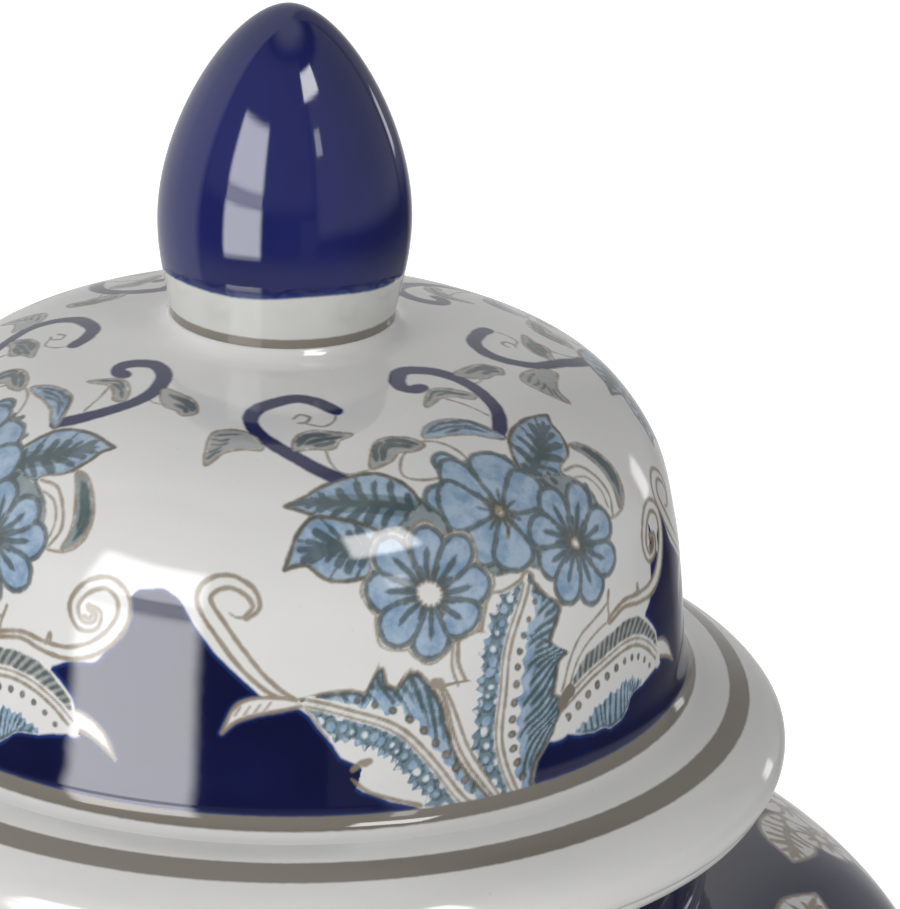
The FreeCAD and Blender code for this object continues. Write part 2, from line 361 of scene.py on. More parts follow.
def fern(brush, spine, left, right, styles, outlined=(True, True)):
    """A feathery leaf along its spine. left and right list how far along the spine, from 0 to 1, each
    edge is how wide, so a sudden drop in width is the tip of a lobe. A style paints one side, from how far
    along the spine a point is, how far out, its distance to the edge and the spine's length, and all these
    are in the lid's own millimetres."""
    path = brush.place(smooth(spine, steps=8))
    scale = brush.up
    left, right = np.array(left), np.array(right)
    patch = brush.canvas.patch(path, (max(left[:, 1].max(), right[:, 1].max()) + 3.0) * scale)
    along, offset, total = beside(patch.x, patch.y, patch.flat(path))
    t = along / total
    along = along / scale
    total = total / scale

    def paint(layer, distance):
        patch.paint(layer, distance * scale)

    def clear(distance, layers=LAYERS):
        patch.clear(distance * scale, layers)

    for sign, edge_line, style, drawn in zip((1, -1), (left, right), styles, outlined):
        out = sign * offset / scale
        wide = np.interp(t, edge_line[:, 0], edge_line[:, 1])
        slope = (np.interp(t + 0.01, *edge_line.T) - np.interp(t - 0.01, *edge_line.T)) / (0.02 * total)
        inside = np.where(out > -0.3, (out - wide) / np.hypot(1.0, np.clip(slope, -4.5, 4.5)), FAR)
        clear(inside)
        if drawn:
            paint("line", np.where(out > -0.3, np.abs(inside) - 0.3, FAR))
        style(paint, clear, along, out, inside, total)
    over = np.maximum(-along, along - total * 0.98)
    clear(np.maximum(np.abs(offset / scale) - 1.0, over))
    paint("line", np.maximum(np.abs(offset / scale + 0.35) - 0.27, over))
    paint("line", np.maximum(np.abs(offset / scale - 0.62) - 0.2, over))


def scales(paint, clear, along, out, inside, total, reach=4.6):
    """A dark teal ground beside the spine, crowded with pale blue beads of uneven size."""
    fringe = reach - 0.6 + 0.7 * np.sin(along * 2.9) * np.sin(along * 1.3 + 1.0)
    region = np.maximum(np.maximum(inside + 0.45, 0.8 - out), out - fringe)
    pitch = 1.6
    row = np.floor(out / pitch)
    cell = np.floor(along / pitch + 0.5 * (row % 2))
    u = (along / pitch + 0.5 * (row % 2)) % 1.0 - 0.5 + 0.14 * np.sin(cell * 2.3 + row * 4.1)
    v = (out / pitch) % 1.0 - 0.5 + 0.14 * np.sin(cell * 3.7 + row * 1.9)
    size = 0.54 + 0.13 * np.sin(cell * 5.1 + row * 2.7)
    bead = np.hypot(u, 0.85 * v) * pitch - size
    paint("teal", region)
    clear(np.maximum(bead, region + 0.1), layers=("teal",))
    paint("wash", region)
    white = np.where((3 * cell + 2 * row) % 4 < 2, bead + 0.16, FAR)
    clear(np.maximum(white, region + 0.2), layers=("wash",))
    paint("vein", np.maximum(np.maximum(0.06 - bead, bead - 0.34), np.maximum(region + 0.2, u)))


def across_barbs(slant, pitch):
    """Distance from the middle of the nearest of a row of slanting strokes."""
    return np.abs((slant / pitch) % 1.0 - 0.5) * pitch


def dots(paint, along, out, fits, total):
    """A row of small brown ringed dots beside the spine."""
    pitch = 2.45
    u = ((along / pitch) % 1.0 - 0.5) * pitch
    size = np.clip(0.32 + 0.013 * (total - along), 0.28, 0.60)
    from_dot = np.hypot(u, out - 1.95)
    paint("line", np.maximum(from_dot - size, fits))
    paint("vein", np.maximum(np.abs(from_dot - size + 0.08) - 0.15, fits))


def dots_and_hatch(paint, clear, along, out, inside, total, start=2.9):
    """Dots, then a wash that darkens outwards under long slanting barbs with pale lines between them."""
    dots(paint, along, out, np.maximum(inside + 0.4, 1.0 - along), total)
    start = np.minimum(start, 0.35 * (out - inside)) + 0.3 * np.sin(along * 2.2)
    region = np.maximum(inside + 0.2, start - out)
    paint("wash", region)
    slant = along - 1.15 * out + 0.25 * np.sin(out * 1.1)
    pitch = 1.6
    barb = across_barbs(slant, pitch) * 0.66
    root = start + 1.1 + 0.8 * np.sin(np.floor(slant / pitch) * 2.1)
    dark = np.maximum(region - 0.1, root - out)
    paint("teal", np.maximum(barb - 0.44, dark))
    paint("teal", dark + 1.6)
    clear(np.maximum(0.40 - barb, dark + 0.3), layers=("teal",))
    paint("vein", np.maximum(barb - 0.24, dark + 0.4))
    paint("vein", np.maximum(np.abs(inside + 0.35) - 0.3, start - out))


def dots_and_fringe(paint, clear, along, out, inside, total, start=4.9):
    """Dots, a white gap, and a fringe of short wash and dark strokes along the edge."""
    dots(paint, along, out, np.maximum(inside + 0.4, 1.0 - along), total)
    ragged = 0.5 * np.sin(along * 2.7) * np.sin(along * 1.2 + 0.6)
    region = np.maximum(inside + 0.1, start + ragged - out)
    barb = across_barbs(along + 0.35 * out, 1.5) * 0.94
    paint("wash", region)
    paint("teal", np.maximum(barb - 0.36, region + 0.2))
    paint("vein", np.maximum(barb - 0.2, region + 0.4))
    paint("vein", np.maximum(np.abs(inside + 0.3) - 0.22, start + 0.9 - out))


def serrated(paint, clear, along, out, inside, total, reach=4.0):
    """Close dark strokes, like fur, from the spine to a ragged edge, with white left beyond them."""
    ragged = 0.6 * np.sin(along * 5.2) * np.sin(along * 1.9 + 1.0)
    region = np.maximum(np.maximum(inside + 0.5, out - reach + ragged), 1.2 - out)
    strokes = across_barbs(along - 0.55 * out, 1.15) * 0.88 - 0.30
    paint("grey", region)
    paint("vein", np.maximum(strokes, region))


def blade(brush, upper, lower):
    """A pointed white blade. upper runs from its root to its tip, and lower from there back."""
    brush.area(np.vstack([smooth(upper), smooth(lower)]), None, "line", line=0.6)


def spiral_scroll(brush):
    """The tall open scroll at the left of a spray, and the hooked white leaf at its root."""
    brush.ribbon(
        [(3, 18.3), (0, 20), (-4, 23.8), (-7.7, 28), (-9.7, 31.2), (-9.2, 33.3), (-6.6, 34.5), (-4, 33.4),
         (-3, 31.2), (-4.2, 29.6)], [0.3, 1.3, 1.9, 2, 1.9, 1.9, 1.7, 1.4, 0.9, 0.4])
    brush.stroke("line", [(-4.2, 29.6), (-5.4, 29.5), (-6.4, 30)], 0.4, end=0.3)
    blade(brush, [(4, 18.4), (0.5, 19), (-3, 18.6), (-5.2, 17), (-6.7, 13.6)],
        [(-6.7, 13.6), (-4.6, 15.6), (-1.6, 16.8), (1.6, 17.4), (4, 17.9)])
    for k in range(4):
        x = -5.0 + 1.3 * k
        brush.stroke("line", [(x, 16.2 + 0.35 * k), (x + 0.9, 17.6 + 0.3 * k)], 0.3, end=0.3)


def closed_scroll(brush):
    """The rolled scroll at the right of a spray, on its thorny stem, and the white tongue under it."""
    brush.ribbon(
        [(53.6, 21.6), (57.2, 22.2), (61, 21.5), (65.5, 21.6), (69.6, 23.3), (72.6, 26.6), (73, 30),
         (70.4, 32), (67, 31.2), (64.9, 28.6), (65.8, 26), (68.2, 25.8), (69, 27.6), (67.4, 28.6)],
        [0.7, 0.9, 1.3, 1.7, 1.9, 1.9, 1.7, 1.6, 1.5, 1.4, 1.2, 1, 0.7, 0.4])
    brush.stroke("line", [(61, 22), (61.3, 23.6), (61.6, 22.2)], 0.6, end=0.4)
    brush.stroke("line", [(66.6, 27.2), (67.4, 26.8), (68, 27.6), (67.2, 28.2)], 0.7)
    brush.stroke("line", [(53.9, 25.8), (53.5, 23.5), (53.6, 21.4)], 0.5)
    blade(brush, [(61, 13.8), (64.5, 14), (67.8, 13.4), (70.6, 11.4), (72.6, 8.2)],
        [(72.6, 8.2), (69.6, 10.2), (66.6, 11.4), (63.6, 11.9), (61, 12)])


def navy_curls(brush):
    """The two broad navy curls that rise above each spray."""
    brush.stroke("navy", [(11.2, 49.8), (5.5, 52.4), (0.2, 55.2), (-4.6, 58.4), (-7, 61.8), (-5.8, 64.8),
        (-1.5, 66.6), (4.5, 67.1), (10, 66.2), (14.2, 63.9)], 2.25, start=0.9, end=0.85)
    brush.stroke("navy", [(45.6, 52.2), (49.5, 54.9), (54, 58.2), (56.8, 61.6), (57.4, 65), (55.2, 68.2),
        (50.5, 70.1), (44.5, 70.3), (39.6, 69.4), (37.8, 67.6), (40.2, 66), (43.6, 65.6)], 2.35, start=0.75,
        end=0.8)


def scroll_leaves(brush):
    """The grey and white leaves that curl over behind the flowers, and the small ones by the curls."""
    shaded_leaf(brush, [(22, 48.6), (22.6, 51.6), (25.6, 53.6), (30, 54.1), (34.2, 52.8), (36.2, 50),
        (33, 48), (27, 47.5)], wash=None)
    shaded_leaf(brush,
        [(16.6, 50.6), (17.2, 53.6), (19.6, 56), (23.4, 56.7), (27.4, 55.6), (29.6, 53.4), (26.4, 52.9),
         (23, 53.2), (20.6, 51.6)],
        [[(17.8, 52), (18.6, 54.6), (21, 55.8)], [(19, 52), (20.6, 54.4), (23.6, 55.4)],
         [(21.6, 56), (25, 55.6), (28.4, 53.8)], [(20.4, 55), (23.4, 54.8), (27, 53.8)],
         [(19.2, 53.4), (21.4, 55.2), (24.6, 54.6)]], hatch=0.9)
    shaded_leaf(brush,
        [(30.6, 54.8), (33.4, 57), (37.4, 57.9), (41.4, 57.2), (44.6, 54.9), (46.8, 51.6), (44, 52.2),
         (41, 53.8), (37, 54.6), (33.8, 54.4)],
        [[(32, 55.4), (37, 57.2), (42, 56.2)], [(36, 55.2), (40.6, 55.4), (44.2, 53.4)],
         [(33.4, 55.6), (38.4, 56.2), (43.4, 54.9)], [(38, 57.2), (42.4, 56.4), (45.6, 52.8)]], wash="wash",
        hatch=0.6)
    shaded_leaf(brush,
        [(-15, 58), (-12, 58.8), (-8, 58.4), (-4.6, 57), (-3.6, 54.8), (-8, 54.3), (-11.6, 53.3),
         (-13.9, 50.9), (-15.2, 54.6)],
        [[(-14.2, 57.4), (-11.4, 57.6), (-8.8, 57.6)], [(-14.6, 56.6), (-12.6, 56.2), (-10.8, 56.6)],
         [(-14.6, 55.4), (-12.6, 55.2), (-11.2, 55.6)], [(-14.4, 53.6), (-13.2, 54.2), (-12.4, 54.8)],
         [(-14.2, 52.2), (-13.2, 53.4), (-12, 54)]], hatch=0.45)
    brush.stroke("line", [(9, 55.4), (9.8, 52.6), (12, 50.6), (16, 50.4)], 0.4)
    shaded_leaf(brush,
        [(3, 54.6), (3.4, 57), (6, 58.8), (9.6, 59.4), (15.4, 58.3), (12.4, 57.2), (10.6, 55.6),
         (6.8, 55.3)],
        [[(4, 55.6), (6.4, 57.8), (11, 58.6)], [(5.4, 56), (8.6, 57.4), (13, 58)],
         [(7, 56), (9.6, 56.6), (11.4, 57.2)], [(3.8, 56.4), (6.6, 58.2), (10, 58.8)]], hatch=0.9)
    brush.stroke("line", [(3.6, 61.8), (5, 62.8), (7.2, 62.4), (6.4, 61), (4.4, 60.7)], 0.5, end=0.4)
    brush.stroke("line", [(6.4, 60.7), (9.8, 60.4), (12.6, 61.6), (13.6, 63)], 0.4, end=0.4)
    shaded_leaf(brush,
        [(38, 61.4), (41, 63.6), (46, 64.5), (50.8, 63.7), (54, 61.2), (51.6, 60.4), (48.4, 61.6),
         (44, 62.1)], [[(40, 62.6), (45, 63.8), (50, 63)], [(44, 62.8), (48.8, 62.8), (52.6, 61.4)]],
        hatch=0.6)
    brush.stroke("line", [(45, 61.8), (47.4, 59.4), (48.6, 56.4)], 0.4)
    shaded_leaf(brush,
        [(58.6, 65.8), (63, 66.4), (67.6, 65.8), (71.2, 63.8), (72.4, 61.4), (69.8, 60.6), (67.2, 62),
         (63, 62.9)],
        [[(62, 65.4), (66.6, 64.8), (70.6, 62.4)], [(66.4, 65.2), (69.8, 63.8), (71.4, 61.8)],
         [(65.6, 63.6), (68.8, 62.6), (70.2, 61.4)]], hatch=0.9)
    brush.stroke("line", [(57.8, 62.9), (60.4, 62.6), (63.4, 62.9)], 0.35)


def flower_group(brush):
    """Leaves behind, the crescent leaf at the right, and three overlapping flowers in front."""
    leaf(brush,
        [(23, 43.4), (22.2, 46.2), (20, 48.3), (16.4, 49.8), (12, 49.9), (8, 48.5), (4.6, 46.5), (1, 45.3)],
        [(20.6, 41.4), (16.4, 40.2), (12.4, 40.5), (8.8, 41.8), (6.2, 43.5), (3.6, 44.5)],
        [(22, 43), (17, 44.3), (12, 45.4), (6.6, 45.9), (2, 45.4)])
    leaf(brush,
        [(17.5, 37.2), (16, 40), (12.6, 42.2), (8.8, 43.3), (5.4, 43.3), (2.6, 41), (1.6, 38.6),
         (0.8, 36.1)], [(15.6, 35.2), (12.2, 34.6), (9.2, 34.3), (6.6, 34.6), (4.4, 36.2), (2.6, 36.4)],
        [(16.5, 37.6), (12, 38.8), (7.6, 38.8), (3.4, 37.5)])
    leaf(brush, [(45, 43.6), (44.8, 47), (46.8, 50.8), (50.4, 52.8), (54.6, 53), (58.4, 52.2), (62.2, 51.3)],
        [(48.6, 41.8), (52.6, 42.4), (56.4, 44.6), (59.2, 47.4), (60.2, 49.6)],
        [(45.6, 44.4), (50, 46.8), (54.4, 48.8), (59, 50.6)], veins=6)
    brush.area(smooth([(52, 43.6), (56, 44.6), (58.4, 45.6), (61.4, 45.2), (64.2, 42.8), (65.2, 39.6),
        (63.9, 36.6), (61, 34.8), (57.6, 34.6), (54.6, 36.6), (53, 40)], closed=True), None, "line",
        line=0.45)
    shaded_leaf(brush,
        [(58.6, 45.4), (61.6, 45), (64.2, 42.6), (65, 39.6), (63.6, 36.8), (61, 35.2), (61.6, 37.6),
         (61.4, 40.4), (60.2, 43)],
        [[(60.6, 44.4), (63, 42.2), (63.8, 39.4), (62.6, 36.8)], [(61.4, 43.6), (62.9, 41), (62.8, 38)],
         [(61.2, 44.4), (63.6, 41.6), (64.2, 38.6)]], wash="teal", hatch=0.9)
    brush.stroke("line", [(52.6, 43.2), (56.2, 42.6), (58.8, 40.2), (59.8, 37.4), (58.6, 34.8)], 0.5)
    brush.stroke("line", [(54, 41.6), (56.6, 40.6), (58.2, 38.4), (58.2, 36)], 0.35)
    gaps = [(17, 38.5), (22, 43.5), (27, 46), (31, 49), (37, 49.6), (43, 47.5), (46.5, 44), (52, 42.5),
        (56, 38), (54, 32), (48, 29), (43, 30), (38, 33), (33, 32.5), (28, 34), (22, 35)]
    brush.area(smooth(gaps, closed=True), "teal", "vein", line=0.5)
    dabs(brush, gaps, 110)
    brush.area(smooth([(32.4, 42.2), (29, 41.6), (25.4, 42.6), (23.8, 44.4), (25.2, 46.2), (29, 46.4),
        (32.4, 44.4)], closed=True), "wash", "vein", line=0.8)
    brush.stroke("vein", [(33, 43.2), (29.6, 44), (27, 44.5)], 1.1, end=0.1)
    brush.area(smooth([(29, 49.4), (30.4, 51.2), (33.4, 50.8), (36, 46.6), (34.6, 44.8), (31, 46.4)],
        closed=True), "wash", "vein", line=0.8)
    flower(brush, (36.4, 41.4), 9.4, 7, turn=-28, heart=0.5, fullness=0.74, veined=False)
    brush.stroke("line", [(34.6, 42.8), (36, 41.4), (37.4, 42.6), (38.4, 40.4), (37, 38.8), (36.2, 37.6)],
        0.6)
    flower(brush, (48.8, 33.4), 8.6, 8, turn=-12, heart=0.6, fullness=0.56)
    flower(brush, (22, 32.2), 8.9, 8, turn=2, heart=1.6, fullness=0.60, halo=0.75)


def ferns(brush, edged):
    """Three feathery leaves that fan up from the foot of the lid, and the white blades between them.

    edged outlines the outer ferns, which need no line where a dark ground lies behind them."""
    fern(brush, [(41, 11.6), (44.4, 13.2), (48.8, 15), (54, 15.9), (59, 15.4), (63, 13.8), (66.2, 11.4)],
        [(0, 1.4), (0.17, 2.6), (0.28, 3.9), (0.69, 4.1), (0.9, 2.8), (1, 1)],
        [(0, 4), (0.06, 5.8), (0.16, 7.7), (0.35, 9.6), (0.45, 9.8), (0.6, 8.8), (0.75, 7.2), (0.9, 5.2),
         (1, 1.4)], (serrated, dots_and_fringe), outlined=(edged, edged))
    fern(brush, [(26.4, 1.8), (24.4, 4), (21.6, 8), (18, 11.8), (13.4, 15.2), (8.6, 17.3), (3.4, 18.5)],
        [(0, 4), (0.19, 5.6), (0.3, 7.8), (0.45, 9.6), (0.57, 9.7), (0.605, 8.2), (0.62, 6.9), (0.65, 6.8),
         (0.75, 6.3), (0.8, 5), (0.84, 4.2), (0.9, 3.1), (0.97, 1.2), (1, 0.2)],
        [(0, 3), (0.25, 3.6), (0.37, 4.4), (0.46, 6.2), (0.58, 8), (0.605, 7.4), (0.625, 4.8), (0.66, 5),
         (0.7, 7), (0.72, 6.4), (0.74, 3.1), (0.8, 3), (0.89, 1.9), (1, 0.2)], (scales, dots_and_hatch),
        outlined=(edged, True))
    brush.stroke("line", [(10.3, 7.1), (12.3, 5.1), (15.6, 3.6), (19, 2.6)], 0.6, start=0.5)
    brush.stroke("line", [(4, 17.4), (5.8, 14.8), (7.3, 13)], 0.4, end=0.3)
    brush.stroke("line", [(10.5, 8.4), (11.5, 9.3), (12.6, 9.4), (11.6, 8.8)], 0.8, end=0.4)
    fern(brush, [(33.8, 1.8), (32.5, 6), (32, 11), (32.2, 16), (33, 21), (34.8, 26), (37.4, 31)],
        [(0, 3.6), (0.13, 4.8), (0.28, 7.4), (0.42, 8.8), (0.51, 9.9), (0.535, 9), (0.55, 6.2), (0.62, 7.6),
         (0.685, 8.1), (0.71, 7.4), (0.725, 5), (0.83, 5.6), (0.88, 5.4), (0.91, 3.8), (1, 1)],
        [(0, 3), (0.06, 4.8), (0.1, 7.4), (0.14, 8.8), (0.24, 9.8), (0.4, 10.6), (0.44, 10.4), (0.465, 8.8),
         (0.6, 9.3), (0.73, 10.6), (0.755, 10), (0.775, 6.8), (0.86, 7), (0.92, 7), (0.94, 6), (0.955, 3.2),
         (1, 0.8)], (scales, dots_and_hatch))
    brush.stroke("band", [(41.6, 12.4), (42.6, 13.6), (43.4, 13.9)], 2, start=0.4, end=0.5)
    brush.stroke("line", [(22.2, 19.4), (22.9, 19.2)], 1.5)
    brush.ribbon([(30.6, 2), (27.6, 7.4), (25.2, 12.8), (23.4, 18)], [0.8, 1.2, 1.2, 0.5], line=0.5)
    brush.stroke("line", [(23.2, 18.2), (22, 19.6), (23.2, 19.8), (23.4, 18.6)], 0.6)
    brush.stroke("line", [(25.2, 24.4), (25, 21.4), (25.6, 18.6)], 0.4)
    brush.stroke("line", [(41.6, 14.6), (43.2, 18), (46.2, 21), (50.4, 23), (53.4, 24.2)], 0.45)
    brush.stroke("line", [(42.6, 14), (44.6, 17.4), (47.4, 19.6), (51, 21.2), (53.8, 21.6)], 0.35)


PAINTED_COLUMNS = 1440          # mesh columns round a painted piece, four to a degree
LID_TURNS = (-94, 0, 85, 176)   # where each spray's zero lies, in degrees round from the front
JAR_TURNS = (-52, 38, 128, 218)
JAR_SCALE = 1.62                # how much larger the sprays are on the jar than on the lid
JAR_SPREAD = 0.93               # degrees on the jar to one degree of the lid's sprays
SPRAY_MIDDLE = 29.0             # where a spray's middle lies, in its own degrees
SPRAY_FOOT = 66.0               # how far up the jar its sprays begin, in mm
SHOULDER_COBALT = 34.0          # how far the cobalt comes down from the neck at least, in mm
FLOWER_DROP = 24.0              # how far below the neck the white flowers lie, in mm


def spray(brush, edged=False):
    navy_curls(brush)
    scroll_leaves(brush)
    closed_scroll(brush)
    spiral_scroll(brush)
    ferns(brush, edged)
    flower_group(brush)


GROUND = [                      # the cobalt's upper edge round one spray, in degrees and mm
    (-16, 32.6), (-13.4, 31.4), (-11.6, 28.6), (-8.2, 24.6), (-3.4, 20.4), (-1, 18.4), (3, 17.6), (7, 14.6),
    (10, 10.5), (14, 6), (19, 2.4), (36.6, 2.2), (37.6, 7), (40.6, 9), (45, 9), (50, 8.6), (56, 9.4),
    (60.4, 10.6), (61.8, 14), (62, 18.6), (65, 20.4), (69.4, 21), (71.8, 25), (72.6, 29.2), (74, 31.8)]


def ground_heights(turns, scale=1.0):
    """Height of the cobalt ground all round, as degrees and millimetres, rising between the sprays."""
    points = [(turn + x, scale * y) for turn in turns for x, y in GROUND]
    return np.array(sorted(points))


def lay_ground(canvas, heights, base=0.0, hanging=False):
    """Cobalt from base up to the ground's wavy height, or down to it when the ground hangs."""
    wrapped = np.vstack([heights - (360, 0), heights, heights + (360, 0)])
    edge = np.interp(canvas.degrees, wrapped[:, 0], wrapped[:, 1])
    edge = sum(np.roll(edge, k) for k in (-3, -2, -1, 0, 1, 2, 3)) / 7
    rise = np.gradient(edge) / (canvas.per_degree(base) * 360.0 / canvas.columns)
    up = (base - canvas.along if hanging else canvas.along - base)[:, None]
    away = (up - edge[None, :]) / np.hypot(1.0, rise)[None, :]
    canvas.paint("cobalt", away)


def band(canvas, layer, start, end):
    """A painted ring from start to end, in millimetres up the surface."""
    along = canvas.along[:, None]
    canvas.paint(layer, np.maximum(start - along, along - end))


def lid_canvas(outline, start):
    """The lid's dome: four sprays over a cobalt ground, with a brown line round the foot."""
    canvas = Canvas(outline, PAINTED_COLUMNS, start)
    lay_ground(canvas, ground_heights(LID_TURNS))
    for number, turn in enumerate(LID_TURNS):
        spray(Brush(canvas, turn, seed=number))
    above_line = canvas.along[:, None] - 1.9
    for layer in LAYERS:
        canvas.layers[layer] = np.maximum(canvas.layers[layer], -above_line).astype(np.float32)
    band(canvas, "band", 0.1, 2.2)
    return canvas


def shoulder_flowers(canvas, number, degrees, height):
    """White flowers and leaves left out of the shoulder's cobalt, drawn in thin brown lines."""
    brush = Brush(canvas, degrees, height, across=0.72, up=1.05, seed=100 + number)
    for upper, lower, rib in (
            ([(-6, 2), (-9, 7), (-14, 10), (-20, 11), (-27, 8)], [(-12, 1), (-18, 2), (-23, 5)],
             [(-7, 3), (-14, 5.5), (-20, 7), (-26, 8)]),
            ([(6, 2), (9, 8), (15, 11), (21, 10), (28, 5)], [(12, 0), (18, 0), (23, 2)],
             [(7, 3), (14, 5), (20, 5.5), (27, 5)]),
            ([(-3, -4), (-9, -5), (-14, -9), (-17, -15)], [(-5, -9), (-10, -14)],
             [(-4, -5), (-9, -9), (-16, -14.5)]),
            ([(3, -4), (10, -4), (15, -8), (18, -15)], [(5, -10), (11, -14)],
             [(4, -5), (10, -9), (17, -14.5)])):
        leaf(brush, upper, lower, rib, wash=None, dark="line")
    for centre, radius, petals, turn, heart, fullness in (
            ((-11, -1), 6, 6, 12, 1.2, 0.8),
            ((12, -2), 6.4, 6, -8, 1.2, 0.8),
            ((0, 1), 9, 8, 6, 1.6, 0.62)):
        flower(brush, centre, radius, petals, turn, heart, fullness, wash=None, edge="line")


def jar_canvas(outline):
    """The jar: cobalt shoulder with white flowers, large sprays round the belly, and a cobalt foot."""
    canvas = Canvas(outline, PAINTED_COLUMNS)
    top = canvas.along[-1]
    lay_ground(canvas, ground_heights(JAR_TURNS, scale=0.95), base=4.0)
    hanging = ground_heights([turn + 45 for turn in JAR_TURNS], scale=0.8)
    lay_ground(canvas, hanging + (0, SHOULDER_COBALT), base=top, hanging=True)
    for number, turn in enumerate(JAR_TURNS):
        start = turn - SPRAY_MIDDLE * JAR_SPREAD
        brush = Brush(canvas, start, SPRAY_FOOT, across=JAR_SPREAD, up=JAR_SCALE, seed=20 + number)
        spray(brush, edged=True)
    for number in range(8):
        shoulder_flowers(canvas, number, 22.5 + 45.0 * number, top - FLOWER_DROP)
    band(canvas, "band", 0.5, 3.4)
    return canvas


# ---- outlines, in millimetres: radius and height, up the outside and down the inside ----
def rounded(points, radius=0.8, count=5):
    """The points joined by straight runs, with each inner corner rounded off."""
    points = [np.array(p, float) for p in points]
    out = [points[0]]
    for before, corner, after in zip(points, points[1:], points[2:]):
        a, b = before - corner, after - corner
        reach = min(radius, 0.45 * np.hypot(*a), 0.45 * np.hypot(*b))
        start, end = corner + a / np.hypot(*a) * reach, corner + b / np.hypot(*b) * reach
        t = np.linspace(0, 1, count)[:, None]
        out += list((1 - t) ** 2 * start + 2 * t * (1 - t) * corner + t ** 2 * end)
    out.append(points[-1])
    return np.array(out)


SHOULDER_CENTRE = 60.0          # the shoulder's quarter round turns about this radius and rises this much
SHOULDER_RISE = 34.5
WAIST = (60, 34)                # radius and height, as in the next two rings
FINIAL_WIDEST = (17.9, 15.5)    # above the crown
FINIAL_HOLLOW = (13.9, 15.5)
TAPER_FULLNESS = 0.36           # how far the taper's ends pull it upright, as a share of its height
JAR_WALL = 5.5
COLLAR_EDGE = 9.2               # up the finial's surface to its cobalt
NECK_WHITE = 3.4                # the rim's white above the neck's cobalt


def dome_outline():
    outside = smooth([
        (62.9, -0.95), (61.4, -0.15), (60.2, 1.2), (59.4, 3.4), (58.9, 8), (58.2, 15), (57, 23), (54.2, 33),
        (47.8, 41.5), (38.6, 46.4), (28, 48.9), (20.6, 50.1), (18.2, 50.7), (16.9, 51.5), (16.1, 52.6)],
        steps=16)
    inside = smooth([(15, 45.9), (20, 45.1), (27.2, 44.1), (36.8, 41.8), (44.8, 37.6), (49.6, 31.5),
                     (52.2, 23), (54.1, 8), (55.4, 0.4)])
    vent = [(14, 52.2), (4, 51), (4, 46.2)]
    lift = (0, DOME_FOOT)
    return evenly(outside, 0.26) + lift, np.vstack([vent, inside, [(61.0, -1.6)]]) + lift


def finial_outline():
    top = TIP - CROWN
    radius, height = FINIAL_WIDEST
    hollow = FINIAL_HOLLOW
    bud = bezier(FINIAL_WIDEST, (radius, height + 0.46 * (top - height)), (0.41 * radius, top), (0, top),
                 count=48)
    outside = np.vstack([bezier((16.1, 0), (15.3, 2.5), (radius, 8.0), FINIAL_WIDEST), bud[1:]])
    inside = np.vstack([
        bezier((0, 40.1), (4.9, 40.1), (hollow[0], 25.8), hollow),
        bezier(hollow, (hollow[0], 8.0), (11.3, 2.5), (12.1, 0.2))[1:]])
    lift = (0, CROWN)
    return evenly(outside, 0.35) + lift, evenly(inside, 2.0) + lift


def jar_outline():
    """From the foot's joint up to the neck, and the row at the belly where the two halves meet."""
    radius, height = WAIST
    upright = TAPER_FULLNESS * (BELLY - height)
    belly = (BELLY_RADIUS, BELLY)
    taper = bezier(WAIST, (radius, height + upright), (BELLY_RADIUS, BELLY - upright), belly, count=80)
    flare = bezier((61, BASE_TOP), (60.1, 22), (radius, 26), WAIST)
    lower = evenly(np.vstack([flare[:-1], taper]), 0.5)
    upper = evenly(shoulder_arc(0.0, 60), 0.42)
    return np.vstack([lower, upper[1:]]), len(lower)


def shoulder_arc(depth, count):
    """The shoulder's curve from the belly up to the neck, that deep inside the outer surface."""
    reach = BELLY_RADIUS - SHOULDER_CENTRE - depth
    angle = np.linspace(0, math.acos((NECK_RADIUS - SHOULDER_CENTRE) / reach), count)
    return np.c_[SHOULDER_CENTRE + reach * np.cos(angle), BELLY + (SHOULDER_RISE - depth) * np.sin(angle)]


